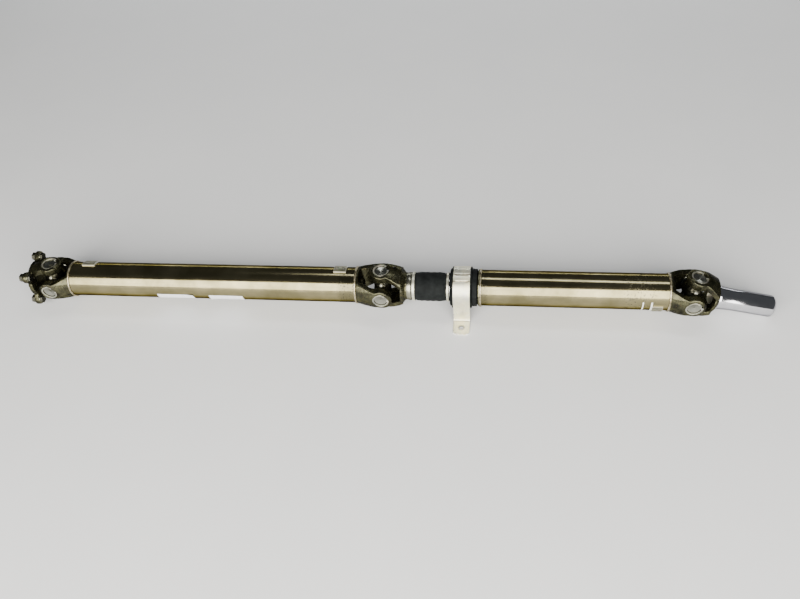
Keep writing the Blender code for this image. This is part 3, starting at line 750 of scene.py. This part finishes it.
def tubes():
    tube("rear_tube", "rear_shaft")
    tube("front_tube", "front_shaft")
    weld_bead("weld_rear_tube_left", REAR_TUBE[0], "rear_shaft", 3)
    weld_bead("weld_rear_tube_right", REAR_TUBE[1], "rear_shaft", 5)
    weld_bead("weld_front_tube_left", FRONT_TUBE[0], "front_shaft", 7)
    weld_bead("weld_front_tube_right", FRONT_TUBE[1], "front_shaft", 11)
    labels()
    balance_weights()


# ---------------------------------------------------------------- flange, sleeve, boot, slip yoke

def flange_bolts():
    """Black flanged hexagon bolts with their nuts and a rolled thread's end."""
    pilot_height = 0.003
    flange_thick = 0.0075
    nut_reach = 0.0082
    shank = 0.0043
    collar_bore = 0.0056
    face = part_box("flange_yoke")[0].x + pilot_height
    front = face + flange_thick
    nut_end = face - nut_reach
    for number in range(1, 5):
        node = "flange_bolt_" + str(number)
        low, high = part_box(node)
        here = Matrix.Translation((0, (low.y + high.y) / 2, (low.z + high.z) / 2))
        corner = (high.z - low.z) / 2 / math.cos(math.pi / 6) * 0.985
        threads = 3
        first = low.x + 0.0003
        pitch = (nut_end - first) / threads
        profile = [(low.x, 0), (low.x, 0.0040)]
        for i in range(threads):
            profile += [(first + pitch * i, shank), (first + pitch * (i + 0.5), 0.0050)]
        profile += [(nut_end, shank), (nut_end + 0.0005, shank), (nut_end + 0.0005, 0)]
        thread = placed(revolve(profile, steps=40, closed=False), here)
        new_piece(node + "_thread", thread, OXIDE, "flange", sharp=60)
        for tag, start, stop, rim, up in (("_head", front + GAP, high.x, front + GAP, 1),
                                          ("_nut", nut_end, face - GAP, face - GAP, -1)):
            hexagon = revolve([(start, 0), (start, corner), (stop, corner), (stop, 0)], steps=6, closed=False)
            piece = new_piece(node + tag, placed(hexagon, here), OXIDE, "flange")
            add_bevel(piece, 0.0007, 3)
            top = rim + up * 0.0016
            outline = [(rim, collar_bore), (rim, corner * 1.06), (rim + up * 0.0009, corner * 1.04),
                       (top, 0.0072), (top, collar_bore)]
            collar = placed(revolve(outline, steps=48), here)
            new_piece(node + tag + "_collar", collar, OXIDE, "flange")
            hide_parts(node)


def slip_yoke():
    """Forged ears and a ground, splined barrel with a slight taper behind its shoulder."""
    along = Vector((math.cos(DROOP), 0, -math.sin(DROOP)))
    centre = Vector((FRONT_X, 0, AXIS_Z))
    verts = frame["nodes"]["slip_yoke"].data.vertices
    end = max((v.co - centre).dot(along) for v in verts)
    shoulder = 0.0430
    forging("slip_yoke", "slip_yoke", keep=(centre + along * shoulder, along))
    radius = 0.0187
    neck = 0.0206
    root = 0.0130
    tooth = 0.0008
    seat = 0.0146
    mouth = 0.0138
    outer = [(shoulder - 0.0012, neck - 0.0004), (shoulder + 0.0002, neck), (shoulder + 0.0030, neck - 0.0003),
             (0.066, radius), (end - 0.0045, radius), (end - 0.003, radius - 0.0004),
             (end - 0.0004, radius - 0.0032), (end, radius - 0.0040)]
    inner = [(end, mouth + 0.0006), (end - 0.0006, mouth), (end - 0.014, mouth),
             (end - 0.0146, root + 0.0001)]
    stations = 8
    spline_start = end - 0.0148
    spline_end = 0.0575
    inner += [(spline_start + (spline_end - spline_start) * i / stations, root) for i in range(stations + 1)]
    inner += [(0.0568, seat), (shoulder - 0.0012, seat)]

    def teeth(x, angle, r):
        if abs(r - root) > 1e-6:
            return r
        wave = math.cos(26 * angle)
        return r - tooth * (1 + max(-1.0, min(1.0, 2.2 * wave)))

    bm = revolve(outer + inner, steps=208, shape=teeth)
    matrix = joint_matrix(FRONT_X, SLIP_UP)
    new_piece("slip_yoke_barrel", placed(bm, matrix), BRIGHT, "slip_yoke", sharp=40)
    repaint(frame["nodes"]["slip_dust_plug"], DULL_ZINC)


def sleeve():
    """Forged yoke with a turned neck that carries the boot's rear end."""
    forging("sleeve_yoke", "sleeve")
    low = MIDDLE_X + 0.0445
    high = BOOT[0] + 0.002
    bore = 0.0205
    crest = 0.0249
    collar = rounded([(low, 0.0238), (low + 0.0045, crest), (low + 0.0075, crest), (low + 0.0095, 0.0232),
                      (BOOT[0] - 0.0012, 0.0224), (high, 0.0213), (high, bore), (low, bore)], 0.0008)
    neck = on_axis(revolve(collar, steps=112))
    new_piece("sleeve_turned_neck", neck, NECK_STEEL, "sleeve")


def boot():
    """Soft moulded boot: rolled cuffs under the clamps and a shallow swell between them."""
    inner = 0.0217
    cuff = BOOT_CUFF_R
    cuff_width = 0.0076
    shoulder = 0.0082
    crown = BOOT_R - 0.0002
    start, stop = BOOT
    length = stop - start
    outline = [(start, inner), (start, cuff - 0.0003), (start + 0.0004, cuff), (start + cuff_width, cuff)]
    span = length - 2 * shoulder
    stations = 44
    for i in range(stations + 1):
        t = i / stations
        swell = min(1.0, 7 * min(t, 1 - t)) ** 0.5
        sag = 0.00018 * math.cos(t * math.tau * 5)
        outline.append((start + shoulder + span * t, cuff + (crown - cuff) * swell + sag * swell - 0.0002))
    outline += [(stop - cuff_width, cuff), (stop - 0.0004, cuff), (stop, cuff - 0.0003), (stop, inner)]
    bore_stations = 20
    outline += [(stop - length * i / bore_stations, inner) for i in range(1, bore_stations)]
    piece = new_piece("boot_moulded", on_axis(revolve(outline, steps=128)), RUBBER)
    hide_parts("boot")
    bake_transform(piece)


def boot_clamps():
    """Stepless band clamps: a rolled band and its crimped ear."""
    for node, body in (("boot_clamp_rear", "sleeve"), ("boot_clamp_front", "front_shaft")):
        low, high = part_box(node)
        inner = BOOT_CUFF_R + GAP
        outer = inner + 0.0012
        middle = (low.x + high.x) / 2
        width = high.x - low.x
        outline = rounded([(low.x, inner), (high.x, inner), (high.x, outer), (low.x, outer)], 0.0004)
        band = on_axis(revolve(outline, steps=128))
        piece = new_piece(node + "_band", band, SMALL_ZINC, body)
        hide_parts(node)
        bm = bmesh.new()
        sections = []
        steps = 28
        centre_angle = math.radians(-120) + math.pi / 2
        for i in range(steps + 1):
            t = i / steps
            a = centre_angle + math.radians(-9 + 18 * t)
            hump = math.sin(math.pi * t) ** 0.45 if 0 < t < 1 else 0.0
            r = outer - 0.0002 + 0.0017 * hump
            half = width * (0.5 - 0.10 * hump)
            section = []
            for side, up in ((-1, -0.0008), (1, -0.0008), (1, 0.0003), (-1, 0.0003)):
                x = middle + side * half
                section.append(bm.verts.new((x, (r + up) * math.cos(a), AXIS_Z + (r + up) * math.sin(a))))
            sections.append(section)
        bar(bm, sections)
        new_piece(node + "_ear", bm, SMALL_ZINC, body)


# ---------------------------------------------------------------- centre bearing

def bracket():
    """Strap bracket with rolled edges, two pressed creases and flanged feet with bolt holes."""
    low, high = STRAP
    thick = STRAP_THICK
    width = high.x - low.x
    centre_x = (low.x + high.x) / 2
    mid_r = STRAP_R - thick / 2
    bend = 0.0045
    foot_z = low.z + thick / 2 - AXIS_Z
    reach = high.y
    path = [(mid_r * math.cos(math.pi * i / 96), mid_r * math.sin(math.pi * i / 96)) for i in range(97)]
    side = [(-mid_r, foot_z * k / 10) for k in range(1, 9)]
    side += [(-mid_r - bend + bend * math.cos(a), foot_z + bend + bend * math.sin(a))
             for a in (math.radians(-9 * i) for i in range(11))]
    side += [(-mid_r - bend - (reach - mid_r - bend) * k / 30, foot_z) for k in range(1, 31)]
    path = [(-y, z) for y, z in reversed(side)] + path + side
    columns = 40
    corner = 0.006
    crease_depth = 0.0009
    crease_span = 0.82         # part of the strap's half width that a crease runs over

    def groove(angle, centre):
        return max(0.0, 1 - abs(angle - centre) / 3.5)

    bm = bmesh.new()
    layers = []
    for sign in (1, -1):
        rows = []
        for i, (y, z) in enumerate(path):
            before = Vector(path[max(i - 1, 0)])
            after = Vector(path[min(i + 1, len(path) - 1)])
            along = (after - before).normalized()
            normal = Vector((along.y, -along.x))
            angle = math.degrees(math.atan2(z, -y)) if z > -0.002 else -20
            foot = max(0.0, abs(y) - (reach - corner))
            narrow = corner - math.sqrt(max(0.0, corner * corner - foot * foot)) if foot else 0.0
            row = []
            for j in range(columns + 1):
                w = 2 * j / columns - 1
                half = width / 2 - min(narrow, corner)
                lift = 0.0
                if sign > 0 and 25 < angle < 155 and abs(w) < crease_span:
                    ease = min(1.0, (crease_span - abs(w)) / 0.12) * min(1.0, (65 - abs(angle - 90)) / 4)
                    lift = -crease_depth * ease * max(groove(angle, c) for c in CREASES)
                offset = normal * (sign * thick / 2 + lift)
                x = centre_x + w * half
                row.append(bm.verts.new((x, y + offset.x, AXIS_Z + z + offset.y)))
            rows.append(row)
        layers.append(rows)
    over, under = layers
    close_layers(bm, under, over)
    piece = new_piece("bracket_strap", bm, ZINC)
    bottom = -0.01
    top = 0.012
    drill_outline = [(bottom, 0), (bottom, FOOT_HOLE_R), (top, FOOT_HOLE_R), (top, 0)]
    for sign in (-1, 1):
        drill = revolve(drill_outline, steps=48, closed=False)
        placed(drill, Matrix.Translation((centre_x, sign * FOOT_HOLE_Y, low.z)) @ X_TO_Z)
        cutter = new_piece("drill", drill, ZINC)
        hole = piece.modifiers.new("hole", "BOOLEAN")
        hole.object = cutter
        hole.operation = "DIFFERENCE"
        apply_modifiers(piece)
        bpy.data.objects.remove(cutter)
    bevel = add_bevel(piece, 0.0005, 3)
    bevel.limit_method = "ANGLE"
    bevel.angle_limit = math.radians(50)
    apply_modifiers(piece)
    repaint(piece, ZINC)
    piece.data.shade_smooth()
    piece.data.set_sharp_from_angle(angle=math.radians(32))
    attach(piece, "carrier")
    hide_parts("bracket")


def ring_piece(node, outline, mat, body, suffix="_turned"):
    bm = on_axis(revolve(outline, steps=112))
    piece = new_piece(node + suffix, bm, mat, body)
    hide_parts(node)


def outline_of(node, inner_r, outer_r):
    """A plain ring's section, as long as its CAD node, with eased corners."""
    low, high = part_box(node)
    return rounded([(low.x, inner_r), (high.x, inner_r), (high.x, outer_r), (low.x, outer_r)], 0.0008)


def centre_bearing():
    """Rubber cushion, housing, races, collar, balls and dust shields."""
    low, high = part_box("rubber_cushion")
    half = (high.x - low.x) / 2
    strap_half = (STRAP[1].x - STRAP[0].x) / 2 + GAP
    seat = STRAP_R - STRAP_THICK - GAP
    lip = (high.z - low.z) / 2
    bore = 0.0303
    relief = 0.0312
    c = BEARING_X
    outline = rounded([(c - half, bore), (c - half + 0.0012, bore), (c - half + 0.0018, relief),
                       (c + half - 0.0018, relief), (c + half - 0.0012, bore), (c + half, bore),
                       (c + half, lip), (c + strap_half, lip), (c + strap_half, seat),
                       (c - strap_half, seat), (c - strap_half, lip), (c - half, lip)], 0.0007)
    ring_piece("rubber_cushion", outline, RUBBER, "carrier", suffix="_moulded")
    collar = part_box("bearing_collar")
    collar_r = (collar[1].z - collar[0].z) / 2 - 0.0001
    for node, inner_r, outer_r, mat, slot, body in (
            ("bearing_housing", 0.0283, 0.0300, FORGED, "forged_steel", "carrier"),
            ("outer_race", 0.0240, 0.0280, RACE_STEEL, "bearing_steel", "carrier"),
            ("inner_race", STUB_SEAT_R, 0.0190, RACE_STEEL, "bearing_steel", "front_shaft"),
            ("bearing_collar", STUB_SEAT_R, collar_r, RACE_STEEL, "bearing_steel", "front_shaft")):
        ring_piece(node, outline_of(node, inner_r, outer_r), mat, body)
    repaint(frame["nodes"]["ball_ring"], RACE_STEEL)
    for node, sign in (("dust_shield_rear", -1), ("dust_shield_front", 1)):
        box_low, box_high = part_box(node)
        near, out = (box_low.x, box_high.x) if sign > 0 else (box_high.x, box_low.x)
        rim = c + sign * (half + 0.0005)
        step = c + sign * 0.0155
        outline = [(near, STUB_SEAT_R), (near, 0.0215), (step, 0.0268), (rim, 0.0285), (rim, 0.0330),
                   (rim + sign * 0.0010, 0.0335), (out - sign * 0.0006, 0.0328), (out, 0.0320),
                   (out, 0.0302), (out - sign * 0.0014, 0.0290), (out - sign * 0.0024, 0.0262),
                   (step + sign * 0.0003, 0.0232), (step, STUB_SEAT_R)]
        ring_piece(node, outline, RUBBER, "front_shaft", suffix="_moulded")


def stub():
    """The stub keeps its CAD splines, in forged steel and with eased edges."""
    node = frame["nodes"]["stub_shaft"]
    repaint(node, FORGED)
    bevel = add_bevel(node, 0.0004, 2)
    bevel.limit_method = "ANGLE"


# ---------------------------------------------------------------- stage, light and camera

def stage():
    """Wide pale floor and a dim even surround."""
    reach = 6
    bm = bmesh.new()
    bmesh.ops.create_grid(bm, x_segments=8, y_segments=8, size=reach)
    mesh = bpy.data.meshes.new("studio_floor")
    bm.to_mesh(mesh)
    bm.free()
    floor = bpy.data.objects.new("studio_floor", mesh)
    floor.location.z = min(CAD_BOX[0][2], 0.0)
    mesh.materials.append(floor_material())
    SCENE.collection.objects.link(floor)
    world = bpy.data.worlds.new("studio")
    world.use_nodes = True
    world.node_tree.nodes["Background"].inputs["Color"].default_value = (0.60, 0.63, 0.66, 1)
    world.node_tree.nodes["Background"].inputs["Strength"].default_value = 0.13
    SCENE.world = world


def area_light(name, location, size, size_y, power, color):
    """A rectangular softbox that faces the middle of the shaft."""
    data = bpy.data.lights.new(name, "AREA")
    data.shape = "RECTANGLE"
    data.size = size
    data.size_y = size_y
    data.energy = power
    data.color = color
    light = bpy.data.objects.new(name, data)
    light.location = location
    light.rotation_euler = (CENTRE - Vector(location)).to_track_quat("-Z", "Y").to_euler()
    SCENE.collection.objects.link(light)


def lights():
    area_light("front_softbox", (0.03, -2.0, 1.05), 4.2, 2.0, 225, (1.0, 0.975, 0.92))
    area_light("back_strip", (0.03, 1.70, 0.42), 3.2, 0.10, 8, (0.95, 0.98, 1.0))
    area_light("overhead_softbox", (0.2, 0.7, 2.3), 1.8, 0.35, 10, (0.96, 0.98, 1.0))


def camera():
    """A camera with a slight roll that looks down on the shaft from the near side."""
    azimuth = math.radians(11.58)
    elevation = math.radians(47.28)
    roll = math.radians(-7.10)
    distance = 1.470
    target = Vector((0.02964, 0, 0.01234))
    back = Vector((math.sin(azimuth) * math.cos(elevation), -math.cos(azimuth) * math.cos(elevation),
                   math.sin(elevation)))
    right = (-back).cross(Vector((0, 0, 1))).normalized()
    up = right.cross(-back)
    tilted_right = right * math.cos(roll) + up * math.sin(roll)
    tilted_up = up * math.cos(roll) - right * math.sin(roll)
    data = bpy.data.cameras.new("camera")
    data.sensor_width = 36
    data.lens = 36.2655
    view = bpy.data.objects.new("camera", data)
    rotation = Matrix((tilted_right, tilted_up, back)).transposed().to_4x4()
    view.matrix_world = Matrix.Translation(target + back * distance) @ rotation
    SCENE.collection.objects.link(view)
    SCENE.camera = view


camera()
stage()
lights()
joints()
tubes()
flange_bolts()
sleeve()
boot()
boot_clamps()
slip_yoke()
stub()
bracket()
centre_bearing()
